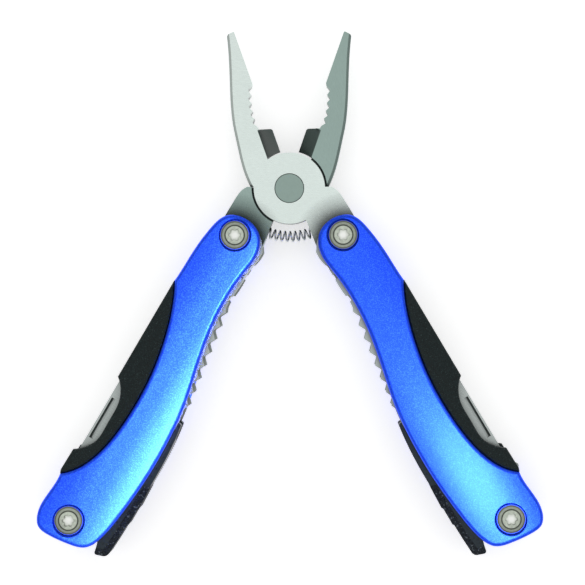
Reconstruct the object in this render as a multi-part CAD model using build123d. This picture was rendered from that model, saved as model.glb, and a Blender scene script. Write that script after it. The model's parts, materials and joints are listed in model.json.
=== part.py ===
from build123d import *
import os
from math import cos, radians, sin, sqrt

# Folding fishing pliers: a sprung plier head between two folding handles that carry the tools.
# Millimetres. The pliers lie flat: Z is the thickness, the jaws point to +Y, the hinges stand along Z,
# and the origin is on the resting surface under the middle of the outline.

# ---------- placing of the assembly ----------
SCALE_OUT = 9.5            # outer face of a scale above the middle plane
PIVOT_Y = 28.49            # the main pivot, in front of the middle of the outline
OPEN_EACH = 19.3           # each jaw stands this far from closed, degrees
SPLAY = 11.1               # each handle leans this far outwards with the jaws closed, degrees

# ---------- plier head, drawn with the jaws closed and the main pivot at 0, 0 ----------
HEAD_HALF = 3.5
TIP_HALF = 1.8
TAPER_START = 13.0
JAW_LENGTH = 45.5
JAW_CHAMFER = 0.7
TIP_ROUND = 0.35
DISC_R = 9.7
LAP_GAP = 0.6
LAP_PLAY = 0.02
RIVET_R = 4.0
RUN = 0.05                 # running clearance of every hinge, on the radius
HINGE_X = 9.52
HINGE_Y = -17.0
EYE_R = 5.2
CUTTER_BACK = 2.9          # the cutters are ground away from the middle plane back to here
CUTTER_HIGH = 16.8
CUTTER_PASS = 0.95         # each cutting edge passes this far beyond the jaw line
CUTTER_LAND = 0.3
GRIP_LOW = 18.9
GRIP_PITCH = 2.16
GRIP_TEETH = 6
GRIP_DEPTH = 0.8
SPRING_Y = -13.35
SPRING_R = 1.6
TANG_FACE_X = 1.5          # the inner face of a tang at the spring
POCKET_R = 1.85
POCKET_DEPTH = 3.0
WIRE_R = 0.25

# ---------- handle, drawn along +X from its top pivot, the inner edge towards +Y ----------
LINER_IN = 5.5
LINER_OUT = 6.5
TOOL_PIVOT = 89.0
BARREL_R = 2.5
THREAD_R = 1.5
SCREW_HEAD_R = 3.8
DISH_R = 4.6
SCALE_ROUND = 1.1
INLAY_ROUND = 0.5
SEAT_R = 3.95
SEAT_DEPTH = 0.8
CROWN_FLAT = (1.0, 4.0)    # flat strip along a scale, across the handle
CROWN_R = 42.0
SCREW_DOME_R = 14.0
GROOVE_R = 2.75            # the turned groove round the socket
SOCKET_R = 1.7
SOCKET_DEPTH = 0.6
INLAY_OUT = 9.3
TEETH = 8
TOOTH_PITCH = 3.84
TOOTH_START = 19.5
TOOTH_V = 8.25
TOOTH_RISE = 0.575
LEVER_HALF = 5.3
LEVER_PIN = (72.0, 10.9)
LEVER_PIN_R = 1.1
FORK_HALF = 2.3
LEAF_HALF = 2.0
SPRING_REST = (63.5, 7.85)
SPRING_REST_R = 0.7
INLAY_PEGS = (30.0, 44.0, 74.6)
INLAY_PEG_V = -6.0
INLAY_PEG_R = 1.0
WEB_TAB = (10.8, 13.2)
WEB_TAB_V = (6.5, 7.2)
TOOTH_GAP = 5.6            # lever tooth above the tool hinge
TOOTH_HALF = 1.1
TANG_R = 5.4
NOTCH_R = 4.4
NOTCH_WIDE = 3.4

# ---------- tool layers, heights from the middle plane ----------
LONG_LOW = 3.7
LONG_HIGH = 5.3
SHORT_LOW = 0.95
SHORT_HIGH = 3.35
SHIM = 0.03


# ---------- small helpers ----------
def face_of(*lines):
    """One closed face from lines that meet end to end."""
    return make_face([edge for line in lines for edge in line.edges()])


def plate(low, high, *lines):
    """A flat plate between two heights with the given outline."""
    return extrude(Pos(0, 0, low) * face_of(*lines), high - low, dir=(0, 0, 1))


def disc(x, y, radius, low, high):
    """A round plate or pin between two heights."""
    return Pos(x, y, (low + high) / 2) * Cylinder(radius, high - low)


def block(x0, x1, y0, y1, z0, z1):
    """A box between two corners."""
    return Pos((x0 + x1) / 2, (y0 + y1) / 2, (z0 + z1) / 2) * Box(x1 - x0, y1 - y0, z1 - z0)


def ring(x, y, outer, inner, low, high):
    """A washer between two heights."""
    return disc(x, y, outer, low, high) - disc(x, y, inner, low - 1, high + 1)


def zigzag(points, depth, side):
    """Teeth from point to point, with a round valley cut to the given side between two tips."""
    lines = []
    for (x0, y0), (x1, y1) in zip(points, points[1:]):
        length = sqrt((x1 - x0) ** 2 + (y1 - y0) ** 2)
        nx, ny = -(y1 - y0) / length * side, (x1 - x0) / length * side

        def at(along, down):
            return (x0 + (x1 - x0) * along + nx * down, y0 + (y1 - y0) * along + ny * down)

        lines.append(Line((x0, y0), at(0.38, depth * 0.86)))
        lines.append(ThreePointArc(at(0.38, depth * 0.86), at(0.5, depth), at(0.64, depth * 0.84)))
        lines.append(Line(at(0.64, depth * 0.84), (x1, y1)))
    return lines


# ---------- plier head ----------
def grip_point(index):
    """A tooth tip of the hollow pipe grip."""
    y = GRIP_LOW + index * GRIP_PITCH
    rise = max(0.0, (y - 20.0) / 9.7)
    return (-2.7 + 2.2 * rise ** 2, y)


def jaw_blank():
    """Outline of the left jaw, full thickness."""
    tips = [grip_point(index) for index in range(GRIP_TEETH)]
    end = JAW_LENGTH
    outer = Spline((-2.3, end - 0.6), (-6.2, 31.2), (-8.85, 20.8), (-9.4, 16.5), (-10.0, 11.5), (-9.9, 4.0))
    outline = [
        Line((0, 0), (CUTTER_PASS, 6.0)),
        Line((CUTTER_PASS, 6.0), (CUTTER_PASS, CUTTER_HIGH)),
        Polyline((CUTTER_PASS, CUTTER_HIGH), (CUTTER_PASS - 0.4, 17.2), (-2.5, 18.1)),
        Line((-2.5, 18.1), tips[0]),
        *zigzag(tips, GRIP_DEPTH, 1),
        Line(tips[-1], (-0.02, 30.4)),
        Line((-0.02, 30.4), (-0.02, end - TIP_ROUND)),
        RadiusArc((-0.02, end - TIP_ROUND), (-TIP_ROUND, end), -TIP_ROUND),
        Polyline((-TIP_ROUND, end), (-1.9, end - 0.2), outer @ 0),
        outer,
        Line((-9.9, 4.0), (-7.0, 2.8)),
        Line((-7.0, 2.8), (0, 0)),
    ]
    body = plate(-HEAD_HALF, HEAD_HALF, *outline) & jaw_taper()
    rims = body.edges().filter_by(lambda e: e.center().X < -6.0 and e.center().Y > 5.0)
    rims = rims.filter_by(lambda e: abs((e % 0.5).Z) < 0.5)
    return chamfer(rims, JAW_CHAMFER)


def tang_blank():
    """Outline of the right tang, from the disc down round the handle hinge."""
    eye = disc(HINGE_X, HINGE_Y, EYE_R, -HEAD_HALF, HEAD_HALF)
    outline = [
        Polyline((0, 0), (7.0, -2.2), (10.9, -3.4)),
        Spline((10.9, -3.4), (12.1, -4.9), (13.1, -8.2), (13.9, -11.9), (HINGE_X + EYE_R, HINGE_Y)),
        Polyline((HINGE_X + EYE_R, HINGE_Y), (HINGE_X, HINGE_Y - EYE_R + 1.0), (7.0, -21.0), (3.0, -19.6)),
        Polyline((3.0, -19.6), (1.7, -17.4), (1.4, -9.8), (0, 0)),
    ]
    return plate(-HEAD_HALF, HEAD_HALF, *outline) + eye


def jaw_taper():
    """The side view of the head: parallel at the disc, thinner towards the tip."""
    outline = [(-30, -HEAD_HALF), (TAPER_START, -HEAD_HALF), (JAW_LENGTH, -TIP_HALF)]
    outline += [(y, -z) for y, z in reversed(outline)]
    side = make_face(Polyline(*outline, close=True))
    return extrude(Plane.YZ * side, 20, both=True)


def cutter_grinding():
    """What is ground away to leave a cutting edge on the rear side of the middle plane."""
    back = -CUTTER_BACK
    deep = HEAD_HALF + 1
    beyond = 2.0
    low, high = 5.0, CUTTER_HIGH + 1.0
    ledge = Polyline((back - 0.4, low), (back, 9.8), (-2.5, 18.1), (-2.5, 19.0), (beyond, 19.0),
                     (beyond, low), close=True)
    front = plate(-LAP_PLAY, deep, ledge)
    wedge = Polyline((back, -HEAD_HALF), (CUTTER_PASS, -CUTTER_LAND), (beyond, -CUTTER_LAND), (beyond, -deep),
                     (back, -deep), close=True)
    bevel = extrude(Plane.XZ * make_face(wedge), high, both=True) & block(back, beyond, low, high, -deep, 0)
    return [front, bevel]


def plier_half(rivet_hole):
    """The front jaw: left jaw, front half of the lap disc and right tang."""
    body = jaw_blank()
    for cut in cutter_grinding():
        body -= cut
    body += tang_blank()
    body -= disc(0, 0, DISC_R + LAP_GAP, -HEAD_HALF - 1, LAP_PLAY)
    body += disc(0, 0, DISC_R, LAP_PLAY, HEAD_HALF)
    body -= disc(0, 0, rivet_hole, -HEAD_HALF - 1, HEAD_HALF + 1)
    body -= disc(HINGE_X, HINGE_Y, BARREL_R + RUN, -HEAD_HALF - 1, HEAD_HALF + 1)
    pocket = Rot(0, 90, 0) * Cylinder(POCKET_R, POCKET_DEPTH + 1)
    return body - Pos(TANG_FACE_X + POCKET_DEPTH / 2, SPRING_Y, 0) * pocket


def place_head(shape, turn):
    """Turn a head piece about the main pivot and put it in the assembly."""
    return Pos(0, PIVOT_Y, SCALE_OUT) * Rot(0, 0, turn) * shape


def jaw_spring():
    """The coil spring between the tangs, drawn as its outer envelope on the arc that it follows."""
    turn = radians(OPEN_EACH)
    mouth_x = TANG_FACE_X + 0.1
    seat_x = TANG_FACE_X - 0.1 + POCKET_DEPTH
    left_mouth = (-mouth_x * cos(turn) + SPRING_Y * sin(turn), mouth_x * sin(turn) + SPRING_Y * cos(turn))
    left_seat = (-seat_x * cos(turn) + SPRING_Y * sin(turn), seat_x * sin(turn) + SPRING_Y * cos(turn))
    sag = left_mouth[0] * sin(turn) / (1 + cos(turn))
    path = Line(left_seat, left_mouth)
    path += ThreePointArc(left_mouth, (0, left_mouth[1] + sag), (-left_mouth[0], left_mouth[1]))
    path += Line((-left_mouth[0], left_mouth[1]), (-left_seat[0], left_seat[1]))
    start = Plane(origin=path @ 0, z_dir=path % 0)
    tube = sweep(start * (Circle(SPRING_R) - Circle(SPRING_R - 2 * WIRE_R)), path=path)
    return Pos(0, PIVOT_Y, SCALE_OUT) * tube


def pivot_rivet():
    """The main pivot, fast in the rear jaw, flush with both faces."""
    pin = disc(0, 0, RIVET_R, -HEAD_HALF, HEAD_HALF)
    return chamfer(pin.edges().filter_by(GeomType.CIRCLE), 0.15)


# ---------- handle ----------
def inlay_seam(shift):
    """The curve where scale and inlay meet, shifted towards the outer edge by a seam width."""
    points = [(18.8, -7.95), (26.3, -4.55), (35.5, -2.0), (46.0, -0.45), (57.0, -0.35), (67.5, -1.75),
              (74.5, -4.4), (79.2, -8.45)]
    return Spline(*[(u, v - shift) for u, v in points])


def scale_rim():
    """The free edge of a scale, from the top of the inlay round the hinges to its foot end."""
    top = [(18.8, -7.95), (10.0, -7.6), (2.0, -6.75), (-3.6, -4.5), (-5.3, 0.4), (-3.5, 5.5), (1.6, 7.8)]
    inner = [(7.0, 7.4), (13.3, 6.75), (28.9, 7.8), (38.0, 9.65), (47.6, 11.6), (56.0, 12.4), (65.7, 12.6),
             (82.0, 11.3)]
    foot = [(89.5, 9.75), (92.9, 7.8), (94.6, 3.0), (95.2, -2.8), (94.6, -6.4), (92.0, -8.2), (86.0, -8.6),
            (79.2, -8.45)]
    return Spline(*top, *inner, *foot)


def crown(top):
    """The cross-section of a scale: a flat strip along the middle that falls away in an arc to both sides."""
    reach = 14.0
    drop = reach ** 2 / (2 * CROWN_R)
    left, right = CROWN_FLAT
    profile = [
        Line((left, top), (right, top)),
        ThreePointArc((right, top), (right + reach / 2, top - drop / 4), (right + reach, top - drop)),
        Polyline((right + reach, top - drop), (right + reach, 0), (left - reach, 0)),
        Line((left - reach, 0), (left - reach, top - drop)),
        ThreePointArc((left - reach, top - drop), (left - reach / 2, top - drop / 4), (left, top)),
    ]
    section = Plane((-20, 0, 0), x_dir=(0, 1, 0), z_dir=(1, 0, 0)) * face_of(*profile)
    return extrude(section, 130, dir=(1, 0, 0))


def screw_dish(u):
    """The dished seat of a screw, turned about the hinge, with a soft lip."""
    profile = [
        Polyline((0, 1.0), (0, -SEAT_DEPTH), (SEAT_R, -SEAT_DEPTH)),
        Spline((SEAT_R, -SEAT_DEPTH), ((SEAT_R + DISH_R) / 2, -SEAT_DEPTH * 0.4), (DISH_R, 0.02)),
        Polyline((DISH_R, 0.02), (DISH_R, 1.0), (0, 1.0)),
    ]
    turned = revolve(Plane.XZ * face_of(*profile), Axis.Z)
    return Pos(u, 0, SCALE_OUT) * turned


def scale_plate():
    """A blue scale: rounded plate with dished screw seats, on the front of the middle plane."""
    body = plate(LINER_OUT, SCALE_OUT, scale_rim(), inlay_seam(0)) & crown(SCALE_OUT)
    rims = body.edges().filter_by(lambda e: e.center().Z > LINER_OUT + 1.0 and e.length > 20)
    body = fillet(rims, SCALE_ROUND)
    for u in (0, TOOL_PIVOT):
        body -= screw_dish(u)
        body -= disc(u, 0, THREAD_R + 0.1, 0, SCALE_OUT + 1)
    return body


def inlay_plate():
    """A black inlay beside the scale, with the cut-out that bares a blade."""
    seam = inlay_seam(0.06)
    outline = [
        seam,
        Line(seam @ 1, (78.3, -8.85)),
        Line((78.3, -8.85), (71.9, -8.7)),
        Spline((71.9, -8.7), (69.8, -6.3), (67.0, -4.55), (61.0, -4.15), (54.7, -4.4), (51.5, -5.7),
               (48.9, -8.1)),
        Line((48.9, -8.1), seam @ 0),
    ]
    body = plate(LINER_OUT, INLAY_OUT, *outline) & crown(INLAY_OUT)
    top = body.faces().sort_by(Axis.Z)[-1]
    body = fillet(top.outer_wire().edges(), INLAY_ROUND)
    for u in INLAY_PEGS:
        body += disc(u, INLAY_PEG_V, INLAY_PEG_R, LINER_IN, LINER_OUT)
    return body


def liner_plate():
    """A steel liner: carries the hinges, with the toothed grip on its inner edge."""
    tips = [(TOOTH_START + i * TOOTH_PITCH, TOOTH_V + i * TOOTH_RISE) for i in range(TEETH)]
    outline = [
        ThreePointArc((1.6, -5.9), (-4.4, 0.4), (-0.4, 8.2)),
        Line((-0.4, 8.2), (0.2, 8.7)),
        Spline((0.2, 8.7), (2.0, 8.75), (4.6, 8.2)),
        Polyline((4.6, 8.2), (4.7, 7.3), (5.9, 7.2), (6.0, 8.0), (7.9, 7.9), (8.0, 6.9), (9.2, 6.9)),
        Line((9.2, 6.9), (9.3, 8.0)),
        Spline((9.3, 8.0), (11.8, 8.0), (14.6, 7.8)),
        Polyline((14.6, 7.8), (14.9, 7.0), (16.3, 7.0), (16.6, 7.6), (18.2, 7.7), tips[0]),
        *zigzag(tips, 1.25, -1),
        Line(tips[-1], (47.7, 11.7)),
        Spline((47.7, 11.7), (51.0, 12.2), (56.0, 12.2), (65.7, 12.3), (85.0, 10.6), (90.0, 9.3)),
        RadiusArc((90.0, 9.3), (93.1, 7.2), 3.0),
        Spline((93.1, 7.2), (94.5, 2.5), (94.9, -2.8)),
        RadiusArc((94.9, -2.8), (91.8, -7.4), 4.8),
        Spline((91.8, -7.4), (79.5, -7.6), (72.3, -7.5)),
        Spline((72.3, -7.5), (70.6, -5.9), (67.9, -3.6)),
        Line((67.9, -3.6), (54.1, -3.6)),
        Spline((54.1, -3.6), (51.2, -4.9), (48.3, -7.2)),
        Spline((48.3, -7.2), (34.0, -7.4), (20.0, -7.2), (10.0, -6.8), (1.6, -5.9)),
    ]
    body = plate(LINER_IN, LINER_OUT, *outline)
    for u in (0, TOOL_PIVOT):
        body -= disc(u, 0, BARREL_R, 0, SCALE_OUT)
    for u in INLAY_PEGS:
        body -= disc(u, INLAY_PEG_V, INLAY_PEG_R, 0, SCALE_OUT)
    body -= disc(*LEVER_PIN, LEVER_PIN_R, 0, SCALE_OUT)
    body -= disc(*SPRING_REST, SPRING_REST_R, 0, SCALE_OUT)
    body -= block(WEB_TAB[0], WEB_TAB[1], WEB_TAB_V[0], WEB_TAB_V[1], 0, SCALE_OUT)
    return body


def web_plate():
    """The steel bridge between the liners under the tang, with tabs through both liners."""
    side = [
        Spline((2.3, 7.75), (5.0, 7.1), (9.0, 6.3), (16.6, 6.1)),
        Line((16.6, 6.1), (16.6, 6.95)),
        Spline((16.6, 6.95), (14.6, 7.3), (11.8, 7.6), (9.0, 7.7)),
        Spline((9.0, 7.7), (5.0, 8.0), (2.5, 8.5)),
        Line((2.5, 8.5), (2.3, 7.75)),
    ]
    body = plate(-LINER_IN, LINER_IN, *side)
    body += block(WEB_TAB[0], WEB_TAB[1], WEB_TAB_V[0], WEB_TAB_V[1], -LINER_OUT, LINER_OUT)
    return body


def hinge_barrel(u):
    """The threaded sleeve between the two liners that a hinge turns on."""
    return ring(u, 0, BARREL_R, THREAD_R, -LINER_OUT, LINER_OUT)


def screw(u):
    """A round-headed screw with a six-lobed socket, in the front scale."""
    seat = SCALE_OUT - SEAT_DEPTH
    head = disc(u, 0, SCREW_HEAD_R, seat, SCALE_OUT)
    head &= Pos(u, 0, SCALE_OUT - SCREW_DOME_R) * Sphere(SCREW_DOME_R)
    head -= ring(u, 0, GROOVE_R, GROOVE_R - 0.35, SCALE_OUT - 0.32, SCALE_OUT + 1)
    low, high = SCALE_OUT - SOCKET_DEPTH, SCALE_OUT + 1
    head -= disc(u, 0, SOCKET_R * 0.74, low, high)
    lobe_at = SOCKET_R * 0.72
    for index in range(6):
        angle = radians(60 * index)
        head -= disc(u + lobe_at * cos(angle), lobe_at * sin(angle), SOCKET_R * 0.3, low, high)
    return head + disc(u, 0, THREAD_R, 1.0, seat)


def screws():
    """The two screws of one scale."""
    return Compound([screw(0), screw(TOOL_PIVOT)])


def tang_washers():
    """The two thick washers that centre the tang between the liners."""
    low = HEAD_HALF + SHIM
    return Compound([ring(0, 0, 4.4, BARREL_R, low, LINER_IN), ring(0, 0, 4.4, BARREL_R, -LINER_IN, -low)])


def tool_washers():
    """Washers between the tools on the tool hinge."""
    gaps = [(SHORT_HIGH + SHIM, LONG_LOW - SHIM), (LONG_HIGH + SHIM, LINER_IN)]
    rings = [ring(TOOL_PIVOT, 0, 4.0, BARREL_R, low, high) for low, high in gaps]
    rings += [ring(TOOL_PIVOT, 0, 4.0, BARREL_R, -high, -low) for low, high in gaps]
    rings.append(ring(TOOL_PIVOT, 0, 4.0, BARREL_R, -SHORT_LOW + SHIM, SHORT_LOW - SHIM))
    return Compound(rings)


# ---------- lock lever ----------
def lever_outline():
    """The rocker: finger end towards the jaws, lock tooth over the tool hinge."""
    right = TOOL_PIVOT + TOOTH_HALF
    left = TOOL_PIVOT - TOOTH_HALF
    return [
        Spline((52.0, 13.2), (56.5, 13.8), (62.0, 14.2), (70.6, 14.3)),
        Polyline((70.6, 14.3), (71.2, 12.7), (86.0, 12.3), (91.6, 11.9), (92.2, 9.9)),
        Polyline((92.2, 9.9), (right + 0.4, 9.4), (right, TOOTH_GAP), (left, TOOTH_GAP), (left - 0.6, 8.6)),
        Line((left - 0.6, 8.6), (80.0, 9.3)),
        Polyline((80.0, 9.3), (60.0, 9.6), (52.4, 11.6)),
        RadiusArc((52.4, 11.6), (52.0, 13.2), 1.0),
    ]


def lock_lever():
    """The steel lock lever, forked at its finger end where a jaw tip passes."""
    body = plate(-LEVER_HALF, LEVER_HALF, *lever_outline())
    body -= block(50, 56.5, 8, 17, -FORK_HALF, FORK_HALF)
    body -= disc(*LEVER_PIN, LEVER_PIN_R + RUN, -LINER_OUT, LINER_OUT)
    return body


def lever_pad():
    """The ridged thumb pad on the foot end of the lever."""
    outline = [
        Polyline((71.2, 14.45), (77.3, 14.7), (77.7, 14.4), (82.7, 14.4), (83.0, 14.1), (87.6, 14.0)),
        Line((87.6, 14.0), (91.4, 13.8)),
        RadiusArc((91.4, 13.8), (93.4, 12.4), 1.8),
        Line((93.4, 12.4), (93.9, 10.9)),
        RadiusArc((93.9, 10.9), (93.2, 10.1), 0.7),
        Line((93.2, 10.1), (92.2, 9.9)),
        Polyline((92.2, 9.9), (91.6, 11.9), (86.0, 12.3), (71.2, 12.7), (70.6, 14.3), (71.2, 14.45)),
    ]
    return plate(-LEVER_HALF, LEVER_HALF, *outline)


def lever_pin():
    """The pin that the lever rocks on, riveted through both liners."""
    return disc(*LEVER_PIN, LEVER_PIN_R, -LINER_OUT, LINER_OUT)


def lever_spring():
    """The leaf under the lever's finger end, bent down on to its rest pin."""
    leaf = Polyline((70.5, 9.4), (66.0, 9.46), (62.3, 8.8), (62.3, 8.45), (66.1, 9.1), (70.5, 9.05),
                    close=True)
    return plate(-LEAF_HALF, LEAF_HALF, leaf)


def spring_rest():
    """The pin through both liners that the leaf spring pushes against."""
    return disc(*SPRING_REST, SPRING_REST_R, -LINER_OUT, LINER_OUT)


# ---------- tools ----------
def tool(low, high, *outline):
    """A flat tool with its round tang, two lock notches and its hinge hole."""
    body = plate(low, high, *outline) + disc(TOOL_PIVOT, 0, TANG_R, low, high)
    start = TOOL_PIVOT - NOTCH_WIDE / 2 - 0.3
    for v in (NOTCH_R, -NOTCH_R - 3):
        body -= block(start, start + NOTCH_WIDE, v, v + 3, low - 1, high + 1)
    body -= disc(TOOL_PIVOT, 0, BARREL_R + RUN, low - 1, high + 1)
    return body


def grind(u0, u1, v_thick, v_edge, low, high, keep):
    """The two wedges that grind a blade from full thickness down to its edge."""
    middle = (low + high) / 2
    wedges = []
    for face, sign in ((high, 1), (low, -1)):
        start = (v_thick, face)
        drop = (abs(face - middle) - keep) * 0.3
        past = (v_edge + (v_edge - v_thick) * 0.3, middle + sign * (keep - drop))
        over = (past[0], face + sign)
        section = make_face(Polyline(start, past, over, (v_thick, face + sign), close=True))
        wedges.append(extrude(Plane((u0, 0, 0), x_dir=(0, 1, 0), z_dir=(1, 0, 0)) * section, u1 - u0))
    return wedges


def grind_tip(u_tip, u_thick, low, high, keep):
    """The two wedges that thin a driver down to its tip."""
    middle = (low + high) / 2
    wedges = []
    for face, sign in ((high, 1), (low, -1)):
        section = make_face(Polyline((u_thick, face), (u_tip, middle + sign * keep), (u_tip, face + sign),
                                     (u_thick, face + sign), close=True))
        wedges.append(extrude(Plane.XZ * section, 20, both=True))
    return wedges


def nail_nick(u, v, length, face):
    """A groove in a face for a finger nail, steep on one side."""
    groove = Pos(u, v, face + 0.3) * Rot(0, 90, 0) * Cylinder(0.9, length)
    return groove - block(u - length, u + length, v + 0.25, v + 2.0, face - 1, face + 1)


def knife():
    """Straight-edged drop-point knife, front of the left handle."""
    outline = [
        Line((86.0, -4.0), (83.6, -7.6)),
        Line((83.6, -7.6), (46.0, -7.3)),
        Spline((46.0, -7.3), (36.0, -5.8), (27.5, -0.6)),
        Spline((27.5, -0.6), (34.0, 3.6), (44.0, 4.8)),
        Line((44.0, 4.8), (78.5, 4.8)),
        Polyline((78.5, 4.8), (79.5, 3.6), (84.5, 4.0), (86.0, -4.0)),
    ]
    body = tool(LONG_LOW, LONG_HIGH, *outline)
    for wedge in grind(24, 78, -1.6, 4.8, LONG_LOW, LONG_HIGH, 0.12):
        body -= wedge
    return body - nail_nick(61.0, -6.0, 12.4, LONG_HIGH)


def serrated_knife():
    """Knife with a scalloped edge, front of the right handle."""
    scallops = 9
    start = 44.0
    pitch = 3.6
    tips = [(start + i * pitch, 4.6) for i in range(scallops + 1)]
    outline = [
        Line((86.0, -4.0), (83.6, -7.6)),
        Line((83.6, -7.6), (42.0, -7.2)),
        Spline((42.0, -7.2), (33.6, -3.6), (28.0, 2.6)),
        Line((28.0, 2.6), tips[0]),
        *[ThreePointArc(a, ((a[0] + b[0]) / 2, a[1] - 0.9), b) for a, b in zip(tips, tips[1:])],
        Polyline(tips[-1], (77.6, 4.6), (79.5, 3.4), (84.5, 4.0), (86.0, -4.0)),
    ]
    body = tool(LONG_LOW, LONG_HIGH, *outline)
    for wedge in grind(24, 77, 0.2, 4.6, LONG_LOW, LONG_HIGH, 0.15):
        body -= wedge
    return body - nail_nick(61.0, -6.0, 12.4, LONG_HIGH)


def fish_scaler():
    """Scaler with hooked teeth and a forked hook remover at its end, back of the left handle."""
    tips = [(34.0 + i * 3.0, 5.4) for i in range(15)]
    outline = [
        Line((86.0, -4.0), (83.6, -6.4)),
        Line((83.6, -6.4), (27.5, -6.4)),
        Polyline((27.5, -6.4), (26.8, -3.6), (31.0, -1.3), (31.0, -0.3), (26.8, 2.2), (27.6, 4.6), tips[0]),
        *zigzag(tips, 1.5, -1),
        Polyline(tips[-1], (79.5, 4.6), (84.5, 4.0), (86.0, -4.0)),
    ]
    return tool(-LONG_HIGH, -LONG_LOW, *outline)


def file_blade():
    """Hook file with a groove along it, back of the right handle."""
    outline = [
        Line((86.0, -4.0), (83.6, -6.0)),
        Line((83.6, -6.0), (28.5, -6.0)),
        RadiusArc((28.5, -6.0), (28.5, 3.4), -6.0),
        Line((28.5, 3.4), (80.0, 3.4)),
        Polyline((80.0, 3.4), (84.5, 4.0), (86.0, -4.0)),
    ]
    body = tool(-LONG_HIGH, -LONG_LOW, *outline)
    return body - Pos(52, -1.3, -LONG_HIGH - 0.25) * Rot(0, 90, 0) * Cylinder(0.7, 44)


def flat_driver():
    """Flat screwdriver, middle of the left handle."""
    outline = [
        Polyline((86.0, -4.2), (80.0, -5.0), (68.0, -4.6), (63.6, -4.4), (63.6, -0.8), (68.0, -0.4)),
        Polyline((68.0, -0.4), (80.0, 0.6), (85.0, 3.4), (86.0, -4.2)),
    ]
    body = tool(SHORT_LOW, SHORT_HIGH, *outline)
    for wedge in grind_tip(63.4, 68.5, SHORT_LOW, SHORT_HIGH, 0.35):
        body -= wedge
    return body


def cross_driver():
    """Cross-head screwdriver with a flat shank, middle of the right handle."""
    outline = [
        Polyline((86.0, -4.2), (80.0, -4.9), (67.5, -4.9), (64.6, -3.3), (63.4, -2.9), (63.4, -2.1)),
        Polyline((63.4, -2.1), (64.6, -1.7), (67.5, -0.1), (80.0, 0.4), (85.0, 3.4), (86.0, -4.2)),
    ]
    body = tool(-SHORT_HIGH, -SHORT_LOW, *outline)
    for wedge in grind_tip(63.0, 67.5, -SHORT_HIGH, -SHORT_LOW, 0.3):
        body -= wedge
    return body


def can_opener():
    """Can opener with a hooked beak, middle of the left handle."""
    outline = [
        Polyline((86.0, -4.2), (82.0, -6.6), (68.0, -6.6)),
        Spline((68.0, -6.6), (65.0, -4.6), (63.4, -0.4)),
        Spline((63.4, -0.4), (66.6, 0.2), (69.4, -1.6)),
        RadiusArc((69.4, -1.6), (72.4, 1.6), -2.2),
        Polyline((72.4, 1.6), (78.0, 2.6), (85.0, 3.4), (86.0, -4.2)),
    ]
    return tool(-SHORT_HIGH, -SHORT_LOW, *outline)


def cap_lifter():
    """Bottle opener with a thumb nub on its back, middle of the right handle."""
    outline = [
        Polyline((86.0, -4.2), (83.0, -6.8), (67.5, -6.8)),
        Spline((67.5, -6.8), (64.4, -4.6), (63.4, -1.2)),
        Polyline((63.4, -1.2), (64.2, 1.8), (66.0, 2.4), (66.6, 0.2)),
        RadiusArc((66.6, 0.2), (73.4, 0.6), 4.4),
        Polyline((73.4, 0.6), (74.0, 3.2), (85.0, 3.4), (86.0, -4.2)),
    ]
    nub = disc(77.9, -8.6, 0.8, SHORT_LOW, SHORT_HIGH) + block(77.1, 78.7, -8.6, -6, SHORT_LOW, SHORT_HIGH)
    return tool(SHORT_LOW, SHORT_HIGH, *outline) + nub


# ---------- assembly ----------
def to_back(shape):
    """The same piece on the other side of the middle plane."""
    return mirror(shape, about=Plane.XY)


def place_left(shape):
    """Put a handle piece on the left tang."""
    turn = radians(OPEN_EACH)
    x = -HINGE_X * cos(turn) + HINGE_Y * sin(turn)
    y = HINGE_X * sin(turn) + HINGE_Y * cos(turn)
    return Pos(x, PIVOT_Y + y, SCALE_OUT) * Rot(0, 0, -90 - OPEN_EACH - SPLAY) * shape


def place_right(shape):
    """The mirror image of a left handle piece, on the right tang."""
    return mirror(place_left(shape), about=Plane.YZ)


def handle_pieces():
    """Every piece that both handles have."""
    scale = scale_plate()
    inlay = inlay_plate()
    liner = liner_plate()
    pair = screws()
    return {
        "front_scale": scale,
        "back_scale": to_back(scale),
        "front_inlay": inlay,
        "back_inlay": to_back(inlay),
        "front_liner": liner,
        "back_liner": to_back(liner),
        "front_screws": pair,
        "back_screws": to_back(pair),
        "web": web_plate(),
        "tang_hinge_sleeve": hinge_barrel(0),
        "tool_hinge_sleeve": hinge_barrel(TOOL_PIVOT),
        "tang_washers": tang_washers(),
        "tool_washers": tool_washers(),
        "lock_lever": lock_lever(),
        "lever_pad": lever_pad(),
        "lever_pin": lever_pin(),
        "lever_spring": lever_spring(),
        "spring_rest_pin": spring_rest(),
    }


def all_pieces():
    """Every node of the pliers by name."""
    front = plier_half(RIVET_R + RUN)
    rear = Rot(0, 180, 0) * plier_half(RIVET_R)
    pieces = {
        "front_jaw": place_head(front, OPEN_EACH),
        "rear_jaw": place_head(rear, -OPEN_EACH),
        "pivot_rivet": place_head(pivot_rivet(), 0),
        "jaw_spring": jaw_spring(),
    }
    shared = handle_pieces()
    for name, shape in shared.items():
        pieces["left_" + name] = place_left(shape)
        pieces["right_" + name] = place_right(shape)
    left_tools = {"knife": knife(), "fish_scaler": fish_scaler(), "flat_driver": flat_driver(),
                  "can_opener": can_opener()}
    right_tools = {"serrated_knife": serrated_knife(), "hook_file": file_blade(),
                   "cross_driver": cross_driver(), "cap_lifter": cap_lifter()}
    for name, shape in left_tools.items():
        pieces[name] = place_left(shape)
    for name, shape in right_tools.items():
        pieces[name] = place_right(shape)
    return pieces


os.makedirs("parts", exist_ok=True)
for node, shape in all_pieces().items():
    export_step(shape, "parts/" + node + ".step")
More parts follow.
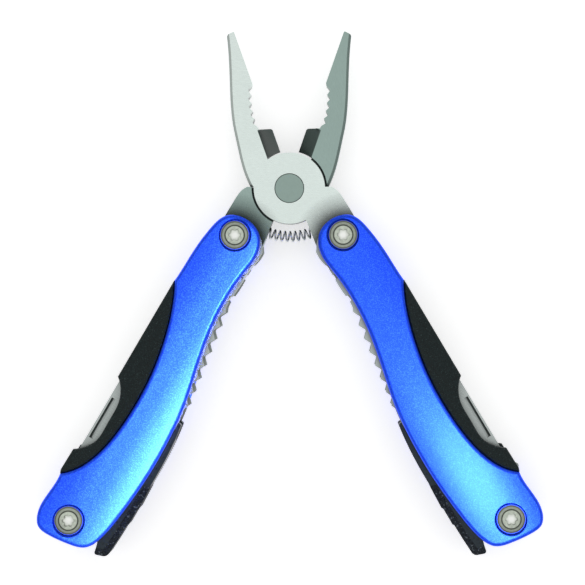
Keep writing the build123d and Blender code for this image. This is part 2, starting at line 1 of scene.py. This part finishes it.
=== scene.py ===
import bpy
import json
from math import cos, pi, radians, sin
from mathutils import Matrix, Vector


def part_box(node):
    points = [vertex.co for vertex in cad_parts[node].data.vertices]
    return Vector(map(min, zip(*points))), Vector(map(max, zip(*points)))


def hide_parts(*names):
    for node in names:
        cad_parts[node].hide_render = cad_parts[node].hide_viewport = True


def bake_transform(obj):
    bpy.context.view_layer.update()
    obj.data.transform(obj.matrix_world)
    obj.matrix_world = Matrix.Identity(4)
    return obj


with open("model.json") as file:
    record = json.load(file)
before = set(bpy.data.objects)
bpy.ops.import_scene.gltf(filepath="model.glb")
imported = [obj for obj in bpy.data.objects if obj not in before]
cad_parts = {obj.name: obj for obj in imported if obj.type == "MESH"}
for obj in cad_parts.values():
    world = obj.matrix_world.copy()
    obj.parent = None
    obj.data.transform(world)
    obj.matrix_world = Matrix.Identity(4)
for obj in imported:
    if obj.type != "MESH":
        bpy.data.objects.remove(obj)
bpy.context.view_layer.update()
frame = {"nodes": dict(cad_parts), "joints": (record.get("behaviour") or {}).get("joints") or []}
nodes = frame["nodes"]
joints = {joint["name"]: joint for joint in frame["joints"]}

MM = 0.001

# ---------- camera ----------
VIEW_WIDTH = 158.4 * MM     # what the picture shows across, at the look height
LOOK_HEIGHT = 0.0157        # the height at which the view's width is counted
CAMERA_HIGH = 0.52
CAMERA_X = 0.013
CAMERA_ROLL = radians(-0.18)
OBJECT_RIGHT = -0.84 * MM   # the object lies this far off the picture's middle
OBJECT_DOWN = 0.03 * MM

# ---------- light ----------
ZENITH = 0.95               # radiance straight above
HALF_WAY = 0.38             # half way down
HORIZON = 0.6
FLOOR_HALF = 4.0
FLOOR_GLOW = 0.55
BOX_PLACE = (0.16, -0.30, 0.95)
BOX_AIM = (0.0, -0.04, 0.01)
BOX_SIZE = (0.26, 0.22)
BOX_POWER = 2.0
SIDE_BOXES = {              # place, size, turn about Z and power of the small box over each handle
    "right": ((0.056, -0.059, 0.094), (0.03, 0.03), 0.0, 0.06),
    "left": ((0.030, -0.095, 0.25), (0.16, 0.04), radians(59.6), 1.25),
}


def add_camera():
    """A camera straight above the object, lying parallel to the floor."""
    data = bpy.data.cameras.new("camera")
    camera = bpy.data.objects.new("camera", data)
    bpy.context.scene.collection.objects.link(camera)
    data.sensor_width = 36
    data.lens = data.sensor_width * (CAMERA_HIGH - LOOK_HEIGHT) / VIEW_WIDTH
    camera.location = (CAMERA_X, 0, CAMERA_HIGH)
    camera.rotation_euler = (0, 0, CAMERA_ROLL)
    data.shift_x = -(CAMERA_X + OBJECT_RIGHT) / VIEW_WIDTH
    data.shift_y = OBJECT_DOWN / VIEW_WIDTH
    data.clip_start = 0.01
    data.clip_end = 20
    bpy.context.scene.camera = camera


def add_light(name, place, aim, size, power):
    """A soft box that points at a spot."""
    data = bpy.data.lights.new(name, "AREA")
    data.shape = "RECTANGLE"
    data.size, data.size_y = size
    data.energy = power
    light = bpy.data.objects.new(name, data)
    light.location = place
    light.rotation_euler = (Vector(aim) - Vector(place)).to_track_quat("-Z", "Y").to_euler()
    light.visible_camera = False
    bpy.context.scene.collection.objects.link(light)
    return light


def light_only(light, pieces):
    """Keeps a light to some pieces, as a flagged lamp does in a studio."""
    group = bpy.data.collections.new(light.name + "_receivers")
    for piece in pieces:
        group.objects.link(piece)
    light.light_linking.receiver_collection = group


def add_studio():
    """White floor, even surround and soft boxes."""
    mesh = bpy.data.meshes.new("floor")
    corners = [(x * FLOOR_HALF, y * FLOOR_HALF, 0) for x, y in ((-1, -1), (1, -1), (1, 1), (-1, 1))]
    mesh.from_pydata(corners, [], [(0, 1, 2, 3)])
    floor = bpy.data.objects.new("floor", mesh)
    bpy.context.scene.collection.objects.link(floor)
    paper = bpy.data.materials.new("floor_paper")
    paper.use_nodes = True
    shader = paper.node_tree.nodes["Principled BSDF"]
    shader.inputs["Base Color"].default_value = (0.93, 0.93, 0.93, 1)
    shader.inputs["Roughness"].default_value = 0.9
    shader.inputs["Specular IOR Level"].default_value = 0.0
    shader.inputs["Emission Color"].default_value = (1, 1, 1, 1)
    shader.inputs["Emission Strength"].default_value = FLOOR_GLOW
    mesh.materials.append(paper)
    add_sky()
    low_box = add_light("low_box", BOX_PLACE, BOX_AIM, BOX_SIZE, BOX_POWER)
    scales = [node for name, node in nodes.items() if name.endswith("_scale")]
    light_only(low_box, scales)
    for side, (place, size, turn, power) in SIDE_BOXES.items():
        near_box = add_light(side + "_box", place, (place[0], place[1], 0), size, power)
        near_box.rotation_euler = (0, 0, turn)
        light_only(near_box, [scale for scale in scales if scale.name.startswith(side)])
    bpy.context.scene.view_settings.view_transform = "Standard"


def add_sky():
    """A white surround: bright above, dimmer half way down, pale again at the horizon."""
    world = bpy.data.worlds.new("studio")
    bpy.context.scene.world = world
    world.use_nodes = True
    tree = world.node_tree
    direction = tree.nodes.new("ShaderNodeTexCoord").outputs["Generated"]
    parts = tree.nodes.new("ShaderNodeSeparateXYZ")
    ramp = tree.nodes.new("ShaderNodeValToRGB")
    tree.links.new(direction, parts.inputs[0])
    tree.links.new(parts.outputs["Z"], ramp.inputs[0])
    tree.links.new(ramp.outputs[0], tree.nodes["Background"].inputs["Color"])
    stops = ramp.color_ramp.elements
    stops[0].position, stops[0].color = 0.05, (HORIZON, HORIZON, HORIZON, 1)
    stops[1].position, stops[1].color = 0.93, (ZENITH, ZENITH, ZENITH, 1)
    middle = stops.new(0.45)
    middle.color = (HALF_WAY, HALF_WAY, HALF_WAY, 1)
    shoulder = stops.new(0.75)
    shoulder.color = (HALF_WAY * 1.3, HALF_WAY * 1.3, HALF_WAY * 1.3, 1)
    tree.nodes["Background"].inputs["Strength"].default_value = 1.0


add_camera()
add_studio()


# ---------- material helpers ----------
class Shade:
    """A material with its Principled shader and short calls to add nodes."""

    def __init__(self, name, **values):
        self.material = bpy.data.materials.new(name)
        self.material.use_nodes = True
        self.tree = self.material.node_tree
        self.shader = self.tree.nodes["Principled BSDF"]
        for socket, value in values.items():
            self.shader.inputs[socket.replace("_", " ")].default_value = value

    def add(self, kind, **settings):
        """A node of a kind with its settings; sockets are given as name=value or name=output."""
        node = self.tree.nodes.new(kind)
        for key, value in settings.items():
            if key in node.bl_rna.properties:
                setattr(node, key, value)
            else:
                self.join(value, node.inputs[key.replace("_", " ")])
        return node

    def join(self, value, socket):
        """Links an output to a socket, or sets the socket."""
        if isinstance(value, bpy.types.NodeSocket):
            self.tree.links.new(value, socket)
        else:
            socket.default_value = value

    def place(self, stretch=(1, 1, 1), turn=0.0):
        """Object coordinates, turned about Z and then stretched."""
        coordinates = self.add("ShaderNodeTexCoord").outputs["Object"]
        turned = self.add("ShaderNodeMapping", Vector=coordinates, Rotation=(0, 0, turn)).outputs[0]
        return self.add("ShaderNodeMapping", Vector=turned, Scale=stretch).outputs[0]

    def noise(self, scale, detail=3.0, roughness=0.55, vector=None):
        """A grey noise value."""
        vector = vector if vector is not None else self.place()
        texture = self.add("ShaderNodeTexNoise", Vector=vector, Scale=scale, Detail=detail,
                           Roughness=roughness)
        return texture.outputs[0]

    def cells(self, scale, feature):
        """A Voronoi texture, as its node."""
        return self.add("ShaderNodeTexVoronoi", Vector=self.place(), Scale=scale, feature=feature)

    def remap(self, value, low, high, to_low, to_high):
        """A clamped linear map of a value."""
        node = self.add("ShaderNodeMapRange")
        for socket, number in zip(node.inputs, (value, low, high, to_low, to_high)):
            self.join(number, socket)
        return node.outputs[0]

    def mix(self, factor, one, two):
        """A colour between two colours."""
        node = self.add("ShaderNodeMix", data_type="RGBA")
        self.join(factor, node.inputs[0])
        self.join(one, node.inputs[6])
        self.join(two, node.inputs[7])
        return node.outputs[2]

    def bump(self, height, strength, distance, normal=None):
        """A bump normal from a height."""
        node = self.add("ShaderNodeBump", Height=height, Strength=strength, Distance=distance)
        if normal is not None:
            self.join(normal, node.inputs["Normal"])
        return node.outputs[0]

    def painted_shade_factor(self, distance, low=0.15, high=0.95):
        """Ambient occlusion as the factor for painted shade: 0 in tight corners, 1 in the open."""
        node = self.add("ShaderNodeAmbientOcclusion", samples=8, Distance=distance)
        return self.remap(node.outputs["AO"], low, high, 0.0, 1.0)

    def math(self, operation, one, two=0.0):
        """A sum, product, smaller value and so on of two values, or a function of one."""
        node = self.add("ShaderNodeMath", operation=operation)
        self.join(one, node.inputs[0])
        self.join(two, node.inputs[1])
        return node.outputs[0]

    def from_point(self, point, turn=0.0):
        """Object coordinates counted from a point, turned about Z, in millimetres: three values."""
        coordinates = self.add("ShaderNodeTexCoord").outputs["Object"]
        moved = self.add("ShaderNodeVectorMath", operation="SUBTRACT")
        self.join(coordinates, moved.inputs[0])
        self.join(tuple(point), moved.inputs[1])
        turned = self.add("ShaderNodeMapping", Vector=moved.outputs[0], Rotation=(0, 0, turn),
                          Scale=(1 / MM, 1 / MM, 1 / MM)).outputs[0]
        return self.add("ShaderNodeSeparateXYZ", Vector=turned).outputs

    def radius(self, x, y):
        """The distance from the axis that two values are counted from."""
        squares = self.math("ADD", self.math("MULTIPLY", x, x), self.math("MULTIPLY", y, y))
        return self.math("SQRT", squares)

    def between(self, value, low, high, soft):
        """1 between two limits, falling to 0 over a soft width on both sides."""
        rise = self.remap(value, low - soft, low, 0.0, 1.0)
        fall = self.remap(value, high, high + soft, 1.0, 0.0)
        return self.math("MULTIPLY", rise, fall)

    def colour(self, value):
        self.join(value, self.shader.inputs["Base Color"])

    def roughness(self, value):
        self.join(value, self.shader.inputs["Roughness"])

    def normal(self, value):
        self.join(value, self.shader.inputs["Normal"])


def srgb(red, green, blue):
    """A linear colour from 0 to 255 values."""
    def lin(channel):
        value = channel / 255
        return value / 12.92 if value <= 0.04045 else ((value + 0.055) / 1.055) ** 2.4
    return (lin(red), lin(green), lin(blue), 1.0)


def scaled(colour, factor):
    """The same colour, darker."""
    return (*[channel * factor for channel in colour[:3]], 1.0)


# ---------- materials ----------
# Places on the head and the screws are in millimetres from the joint's axis.
CUTTER_ACROSS = (-2.0, 2.9)     # from beyond the cutting edge to the back of the ground face
CUTTER_ALONG = (6.0, 17.6)
# painted shade of the ground cutter faces, left jaw darker than right
CUTTER_PAINTED_SHADE = {-1: srgb(70, 82, 79), 1: srgb(96, 110, 106)}
DISC_R = 9.75                   # the lap disc covers the cutters' lower ends
# the sloped faces in this range of normals get painted shade
CHAMFER_SLOPE = (0.4, 0.9)      # the upward part of the normal on a jaw's chamfer
GROOVE_R = 2.75                 # the turned groove in a screw head
# radii of the painted shade on a screw head's rim
SCREW_RIM_PAINTED_SHADE = (3.45, 5.0)
SOCKET_FLOOR = 9.0              # height of a socket's floor above the middle plane


def brushed_base(name, tint, roughness, grain_turn):
    """Flat-ground steel with fine long scratches, and its tone, which is faintly cloudy."""
    look = Shade(name, Metallic=1.0)
    across = look.place(stretch=(1, 22, 1), turn=grain_turn)
    scratches = look.noise(700, detail=5, vector=across)
    cloud = look.noise(90, detail=3)
    streaks = look.mix(look.remap(scratches, 0.35, 0.65, 0.0, 1.0), scaled(tint, 0.8), tint)
    tone = look.mix(look.remap(cloud, 0.4, 0.65, 0.0, 0.3), streaks, scaled(tint, 0.86))
    look.roughness(look.remap(scratches, 0.3, 0.7, roughness - 0.05, roughness + 0.07))
    look.normal(look.bump(scratches, 0.12, 0.0001))
    return look, tone


def brushed_steel(name, tint, roughness, grain_turn, dark=0.35, reach=5.0):
    """Brushed steel with painted shade, darker in corners and against its neighbours; dark and reach set how
    dark the painted shade gets and how far it reaches.
    """
    look, tone = brushed_base(name, tint, roughness, grain_turn)
    # painted shade: the colour darkens in corners and next to neighbouring parts
    look.colour(look.mix(look.painted_shade_factor(reach * MM), scaled(tint, dark), tone))
    return look


def jaw_steel(name, tint, roughness, grain_turn, side):
    """Brushed steel of a jaw with painted shade on its ground cutter, on its chamfers and in its corners;
    side is -1 for the left jaw, 1 for the right.
    """
    look, tone = brushed_base(name, tint, roughness, grain_turn)
    opened = radians(joints["jaws_close"]["range_deg"][1] / 2)
    x, y, _ = look.from_point(joints["jaws_close"]["pos_m"], turn=side * opened)
    across = look.math("MULTIPLY", x, side)
    width = look.between(across, *CUTTER_ACROSS, 0.12)
    length = look.between(y, *CUTTER_ALONG, 0.3)
    past_disc = look.remap(look.radius(x, y), DISC_R, DISC_R + 0.1, 0.0, 1.0)
    cutter = look.math("MULTIPLY", look.math("MULTIPLY", width, length), past_disc)
    # painted shade: the ground cutter faces are coloured dark grey, darker towards their back, in place of
    # the dark reflections they catch
    dark = CUTTER_PAINTED_SHADE[side]
    ground = look.mix(look.remap(across, -1.0, CUTTER_ACROSS[1], 0.0, 1.0), dark, scaled(dark, 0.7))
    tone = look.mix(cutter, tone, ground)
    # painted shade: faces that slope like the chamfers are coloured darker
    normal = look.add("ShaderNodeTexCoord").outputs["Normal"]
    upward = look.math("ABSOLUTE", look.add("ShaderNodeSeparateXYZ", Vector=normal).outputs[2])
    chamfer = look.between(upward, *CHAMFER_SLOPE, 0.05)
    tone = look.mix(look.math("MULTIPLY", chamfer, 0.75), tone, scaled(tint, 0.3))
    # painted shade: darker in corners and beside taller parts, as on the tangs next to the scales
    look.colour(look.mix(look.painted_shade_factor(7.5 * MM, low=0.7, high=0.975), scaled(tint, 0.12), tone))
    return look


def screw_steel():
    """Turned screw heads: a paler middle and fine rings, with painted shade on the rim, in the groove and in
    corners, and a painted highlight on the socket floor.
    """
    look = Shade("screw_steel", Metallic=1.0)
    nearest = 100.0
    for joint in ("left_handle_fold", "right_handle_fold", "knife_open", "serrated_knife_open"):
        x, y, z = look.from_point(joints[joint]["pos_m"])
        nearest = look.math("MINIMUM", look.radius(x, y), nearest)
    fine = look.noise(1400, detail=4)
    rings = look.math("FRACT", look.math("MULTIPLY", nearest, 5.0))
    pale, dark, bright = srgb(206, 214, 200), srgb(172, 180, 166), srgb(250, 252, 248)
    tone = look.mix(look.remap(nearest, GROOVE_R - 0.2, GROOVE_R + 0.1, 0.0, 1.0), pale, dark)
    tone = look.mix(look.remap(fine, 0.35, 0.65, 0.0, 0.3), tone, scaled(dark, 0.6))
    # painted shade: a dark band on the head's rim and a darker one in the groove
    tone = look.mix(look.between(nearest, *SCREW_RIM_PAINTED_SHADE, 0.15), tone, scaled(dark, 0.35))
    tone = look.mix(look.between(nearest, GROOVE_R - 0.3, GROOVE_R, 0.08), tone, scaled(dark, 0.25))
    # painted shade in tight corners
    tone = look.mix(look.painted_shade_factor(0.5 * MM), scaled(dark, 0.08), tone)
    # painted highlight: the floor of the star socket is coloured near white
    deep = look.remap(look.math("ABSOLUTE", z), SOCKET_FLOOR - 0.05, SOCKET_FLOOR + 0.05, 1.0, 0.0)
    socket = look.math("MULTIPLY", look.remap(nearest, 0.5, 1.5, 1.0, 0.2), deep)
    look.colour(look.mix(socket, tone, bright))
    look.roughness(look.remap(fine, 0.3, 0.7, 0.3, 0.44))
    look.normal(look.bump(look.math("ADD", fine, look.math("MULTIPLY", rings, 0.3)), 0.1, 0.0001))
    return look


def blue_paint():
    """Metallic blue lacquer with fine flakes."""
    look = Shade("blue_metallic", Metallic=1.0)
    flakes = look.cells(7000, "F1")
    sparkle = look.add("ShaderNodeSeparateColor", Color=flakes.outputs["Color"]).outputs[0]
    base = (0.019, 0.078, 1.0, 1.0)
    light = (0.058, 0.21, 1.0, 1.0)
    paint = look.mix(look.remap(sparkle, 0.55, 1.0, 0.0, 0.8), base, light)
    # painted shade: the blue turns navy in tight corners, as round each screw's seat
    look.colour(look.mix(look.painted_shade_factor(0.5 * MM), (0.006, 0.012, 0.25, 1.0), paint))
    look.roughness(look.remap(sparkle, 0.0, 1.0, 0.36, 0.46))
    grain = look.noise(2600, detail=2)
    look.normal(look.bump(grain, 0.10, 0.0001))
    return look


def black_inlay():
    """Moulded black nylon with a fine leather-like texture."""
    look = Shade("black_inlay", Metallic=0.0, Specular_IOR_Level=0.3)
    cells = look.cells(1900, "SMOOTH_F1").outputs["Distance"]
    grain = look.noise(2600, detail=3)
    tone = look.mix(look.remap(grain, 0.35, 0.65, 0, 1), (0.001, 0.006, 0.0065, 1), (0.007, 0.02, 0.0205, 1))
    speck = look.remap(look.noise(3600, detail=2), 0.6, 0.72, 0.0, 1.0)
    look.colour(look.mix(speck, tone, (0.05, 0.085, 0.085, 1)))
    look.roughness(look.remap(grain, 0.3, 0.7, 0.4, 0.6))
    look.normal(look.bump(grain, 0.8, 0.0002, look.bump(cells, 0.9, 0.00025)))
    return look


def lever_black():
    """Black oxide on the smooth part of the lever."""
    look = Shade("black_lever", Metallic=0.4, Specular_IOR_Level=0.3)
    grain = look.noise(1200, detail=3)
    look.colour(look.mix(grain, (0.012, 0.017, 0.021, 1), (0.045, 0.065, 0.075, 1)))
    look.roughness(look.remap(grain, 0.3, 0.7, 0.26, 0.4))
    look.normal(look.bump(grain, 0.15, 0.0001))
    return look


def pad_rubber():
    """Rough moulded thumb pad."""
    look = Shade("pad_rubber", Metallic=0.0, Specular_IOR_Level=0.25)
    cells = look.cells(2600, "F1").outputs["Distance"]
    grain = look.noise(1700, detail=4)
    tone = look.mix(look.remap(cells, 0.0, 0.7, 0, 1), (0.04, 0.055, 0.065, 1), (0.006, 0.009, 0.012, 1))
    # painted highlights: pale specks in the colour stand in for glints on the rough pad
    speck = look.remap(look.noise(1300, detail=2), 0.58, 0.7, 0.0, 1.0)
    look.colour(look.mix(speck, tone, (0.17, 0.2, 0.22, 1)))
    look.roughness(look.remap(grain, 0.3, 0.7, 0.5, 0.8))
    look.normal(look.bump(grain, 0.5, 0.00015, look.bump(cells, 0.6, 0.0002)))
    return look


def plain_steel(name, tint, roughness):
    """Fine matt metal for the rivet, springs and washers, with painted shade in its grooves."""
    look = Shade(name, Metallic=1.0)
    fine = look.noise(700, detail=4)
    shade = look.mix(look.remap(fine, 0.3, 0.7, 0.0, 1.0), scaled(tint, 0.85), tint)
    # painted shade: darker in grooves and corners
    look.colour(look.mix(look.painted_shade_factor(1.0 * MM), scaled(tint, 0.25), shade))
    look.roughness(look.remap(fine, 0.3, 0.7, roughness - 0.05, roughness + 0.06))
    look.normal(look.bump(fine, 0.1, 0.0001))
    return look


def make_materials():
    """One material for each slot of the record."""
    return {
        # the two jaws are one steel; the rear jaw's darker tint is painted shade, a shaded copy of the front
        # jaw's
        "jaw_steel_front": jaw_steel("front_jaw_steel", srgb(236, 248, 243), 0.3, 0.2, -1),
        "jaw_steel_rear": jaw_steel("rear_jaw_steel", srgb(166, 188, 181), 0.36, 1.4, 1),
        "rivet_steel": plain_steel("rivet_steel", srgb(160, 181, 173), 0.42),
        "spring_steel": plain_steel("spring_wire", srgb(205, 210, 212), 0.22),
        "blade_steel": brushed_steel("blade_steel", srgb(196, 204, 202), 0.3, 0.55),
        "liner_steel": brushed_steel("liner_steel", srgb(190, 198, 194), 0.33, 0.5, dark=0.15, reach=1.6),
        "blue_anodised": blue_paint(),
        "black_inlay": black_inlay(),
        "screw_steel": screw_steel(),
        "black_lever": lever_black(),
        "lever_rubber": pad_rubber(),
        "washer_brass": plain_steel("washer_brass", srgb(214, 176, 96), 0.35),
    }


materials = make_materials()


def dress_nodes():
    """Gives each CAD node the material of its slot."""
    for node in nodes.values():
        for index, used in enumerate(node.data.materials):
            node.data.materials[index] = materials[used.name.split(".")[0]].material


dress_nodes()


# ---------- jaw spring ----------
SPRING_PITCH = 1.46 * MM
WIRE_R = 0.26 * MM
STEPS_PER_TURN = 28
STRAIGHT = 2.8 * MM         # the straight stretch in each tang's pocket


def add_spring():
    """The coil spring between the tangs as a real wire helix on the arc of its node."""
    low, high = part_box("jaw_spring")
    turn = radians(joints["jaws_close"]["range_deg"][1] / 2)
    coil_r = (high.z - low.z) / 2 - WIRE_R
    level = (high.z + low.z) / 2
    reach = high.x - coil_r * sin(turn) - WIRE_R
    half_chord = reach - STRAIGHT * cos(turn)
    bend_r = half_chord / sin(turn)
    lowest = low.y + coil_r + WIRE_R
    length = 2 * (bend_r * turn + STRAIGHT)
    turns = length / SPRING_PITCH
    count = int(turns * STEPS_PER_TURN)
    points = []
    for step in range(count + 1):
        along = (step / count - 0.5) * length
        angle = max(-turn, min(turn, along / bend_r))
        beyond = along - angle * bend_r
        middle = Vector((bend_r * sin(angle), lowest + bend_r * (1 - cos(angle)), level))
        middle += beyond * Vector((cos(angle), sin(angle), 0))
        normal = Vector((-sin(angle), cos(angle), 0))
        wind = 2 * pi * turns * step / count
        points.append(middle + coil_r * (cos(wind) * normal + sin(wind) * Vector((0, 0, 1))))
    curve = bpy.data.curves.new("spring_wire", "CURVE")
    curve.dimensions = "3D"
    curve.bevel_depth = WIRE_R
    curve.bevel_resolution = 4
    curve.use_fill_caps = True
    spline = curve.splines.new("POLY")
    spline.points.add(len(points) - 1)
    for point, place in zip(spline.points, points):
        point.co = (*place, 1)
    source = bpy.data.objects.new("spring_source", curve)
    bpy.context.scene.collection.objects.link(source)
    bpy.context.view_layer.update()
    mesh = bpy.data.meshes.new_from_object(source)
    bpy.data.objects.remove(source)
    wire = bpy.data.objects.new("coil_spring", mesh)
    bpy.context.scene.collection.objects.link(wire)
    mesh.materials.clear()
    mesh.materials.append(materials["spring_steel"].material)
    for polygon in mesh.polygons:
        polygon.use_smooth = True
    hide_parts("jaw_spring")
    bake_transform(wire)


add_spring()


# ---------- leaf springs ----------
def add_leaf(side):
    """The leaf under a lever, between the lever's pin and its rest pin, as a copy of its node in spring
    steel.
    """
    node = nodes[side + "_lever_spring"]
    leaf = bpy.data.objects.new(side + "_leaf", node.data.copy())
    leaf.matrix_world = node.matrix_world.copy()
    bpy.context.scene.collection.objects.link(leaf)
    leaf.data.materials.clear()
    leaf.data.materials.append(materials["spring_steel"].material)
    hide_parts(side + "_lever_spring")
    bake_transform(leaf)


for side in ("left", "right"):
    add_leaf(side)
